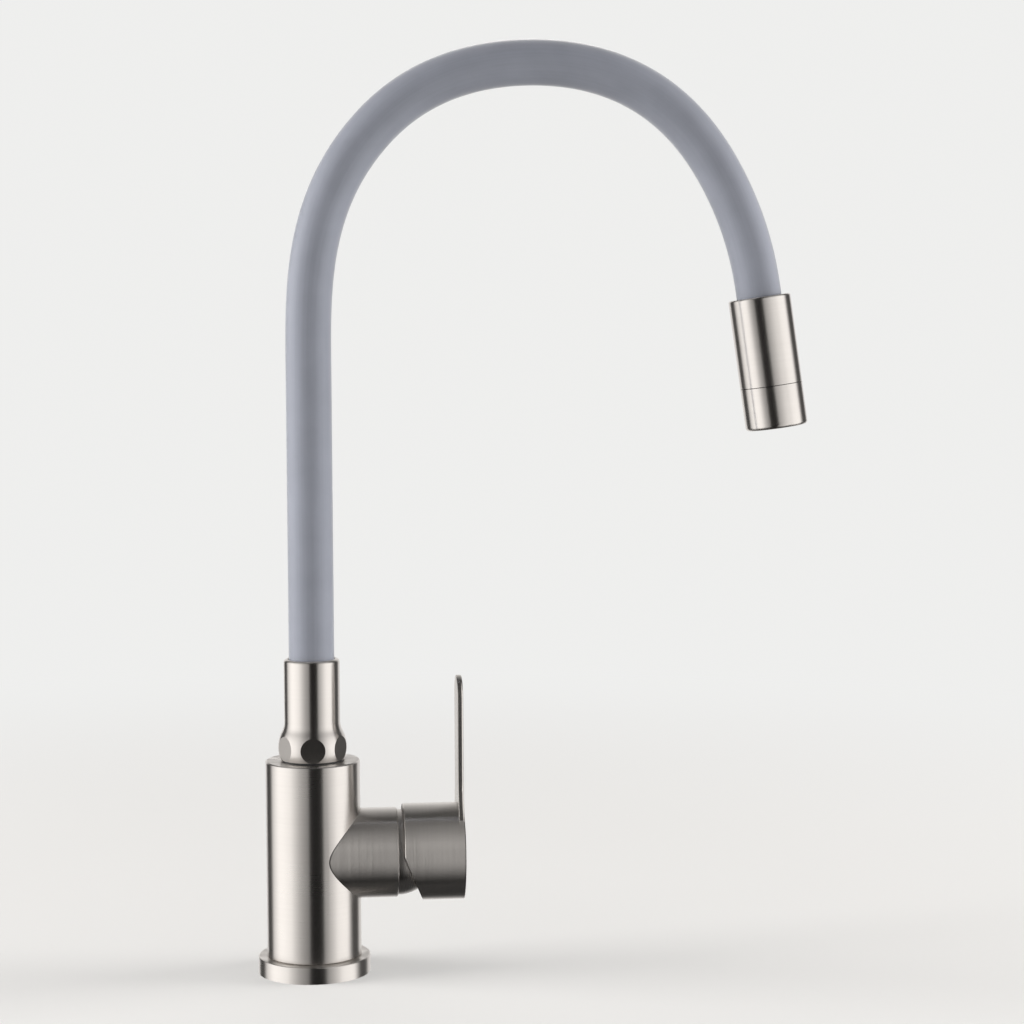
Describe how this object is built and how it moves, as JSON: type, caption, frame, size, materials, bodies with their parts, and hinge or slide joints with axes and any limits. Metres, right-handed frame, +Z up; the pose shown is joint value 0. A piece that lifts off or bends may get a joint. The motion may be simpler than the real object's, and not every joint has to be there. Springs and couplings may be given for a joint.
{
  "type": "kitchen mixer tap",
  "caption": "Single-lever kitchen mixer tap with a round brushed steel column, a side lever and a shape-holding grey hose spout that ends in a straight spray head.",
  "frame": {"origin": "centre of the base on the worktop plane, on the column's axis", "axes": "+Z up along the column, +X along the valve housing and, at rest, along the arch of the hose"},
  "size_m": [0.2666, 0.0536, 0.4431],
  "materials": {
    "brushed_steel": "fine satin brushing round the turned pieces and along the lever",
    "brass": "machined",
    "plain_steel": "drawn",
    "seal_rubber": "matt",
    "hose_silicone": "smooth satin silicone",
    "nozzle_silicone": "smooth",
    "water_tube_plastic": "extruded",
    "cartridge_plastic": "moulded",
    "disc_ceramic": "lapped",
    "dark_plastic": "moulded"
  },
  "bodies": {
    "body": {"base_flange": "brushed_steel", "base_gasket": "seal_rubber", "body_shell": "brushed_steel", "inlet_block": "brass", "hot_inlet_tube": "plain_steel", "cold_inlet_tube": "plain_steel", "valve_seat": "brass", "mixed_water_tube": "plain_steel", "cartridge_base": "cartridge_plastic", "cartridge_seat_seals": "seal_rubber", "cartridge_disc_seals": "seal_rubber", "fixed_ceramic_disc": "disc_ceramic", "cartridge_housing": "cartridge_plastic", "retaining_nut": "brass", "dome_cover": "brushed_steel", "spigot_socket": "brass"},
    "cartridge_turning": {"cartridge_rotor": "cartridge_plastic", "spindle_pin": "plain_steel"},
    "lever": {"lever_handle": "brushed_steel", "cartridge_spindle": "plain_steel", "handle_grub_screw": "plain_steel", "grub_screw_plug": "dark_plastic"},
    "sliding_disc": {"disc_carrier": "cartridge_plastic", "moving_ceramic_disc": "disc_ceramic"},
    "spout": {"swivel_spigot": "brass", "spigot_o_rings": "seal_rubber", "swivel_snap_ring": "plain_steel", "swivel_slip_ring": "dark_plastic", "spout_collar": "brushed_steel", "lower_crimp_ring": "plain_steel", "hose_sleeve_riser": "hose_silicone", "gooseneck_core_riser": "plain_steel", "water_tube_riser": "water_tube_plastic"},
    "hose_shoulder": {"hose_sleeve_shoulder": "hose_silicone", "gooseneck_core_shoulder": "plain_steel", "water_tube_shoulder": "water_tube_plastic"},
    "hose_fall": {"hose_sleeve_fall": "hose_silicone", "gooseneck_core_fall": "plain_steel", "water_tube_fall": "water_tube_plastic"},
    "spray_head": {"hose_sleeve_tip": "hose_silicone", "gooseneck_core_tip": "plain_steel", "water_tube_tip": "water_tube_plastic", "upper_crimp_ring": "plain_steel", "hose_fitting": "brass", "head_shell": "brushed_steel", "head_core": "dark_plastic", "head_o_ring": "seal_rubber", "outlet_snap_ring": "plain_steel"},
    "outlet": {"outlet_ring": "brushed_steel", "selector_disc": "dark_plastic", "spray_face": "dark_plastic", "spray_nozzles": "nozzle_silicone", "aerator": "dark_plastic"}
  },
  "joints": [
    {"name": "temperature_turn", "type": "hinge", "parent": "body", "child": "cartridge_turning", "pos_m": [0.04, 0, 0.0565], "axis": [1, 0, 0], "range_deg": [-45, 45]},
    {"name": "flow_lift", "type": "hinge", "parent": "cartridge_turning", "child": "lever", "pos_m": [0.04, 0, 0.0565], "axis": [0, 1, 0], "range_deg": [0, 22]},
    {"name": "disc_slide", "type": "slide", "parent": "cartridge_turning", "child": "sliding_disc", "axis": [0, 0, 1], "range_m": [0, 0.0049]},
    {"name": "spout_swivel", "type": "hinge", "parent": "body", "child": "spout", "pos_m": [0, 0, 0.102], "axis": [0, 0, 1], "continuous": true},
    {"name": "riser_bend", "type": "hinge", "parent": "spout", "child": "hose_shoulder", "pos_m": [0, 0, 0.286], "axis": [0, 1, 0], "range_deg": [-20, 20]},
    {"name": "crown_bend", "type": "hinge", "parent": "hose_shoulder", "child": "hose_fall", "pos_m": [0.10387, 0, 0.43226], "axis": [0, 1, 0], "range_deg": [-20, 20]},
    {"name": "tip_bend", "type": "hinge", "parent": "hose_fall", "child": "spray_head", "pos_m": [0.19681, 0, 0.38107], "axis": [0, 1, 0], "range_deg": [-20, 20]},
    {"name": "outlet_turn", "type": "hinge", "parent": "spray_head", "child": "outlet", "pos_m": [0.2164, 0, 0.32178], "axis": [0.1392, 0, -0.9903], "range_deg": [0, 90]}
  ],
  "couplings": [
    {"joint": "disc_slide", "follows": "flow_lift", "m_per_rad": 0.012683}
  ]
}
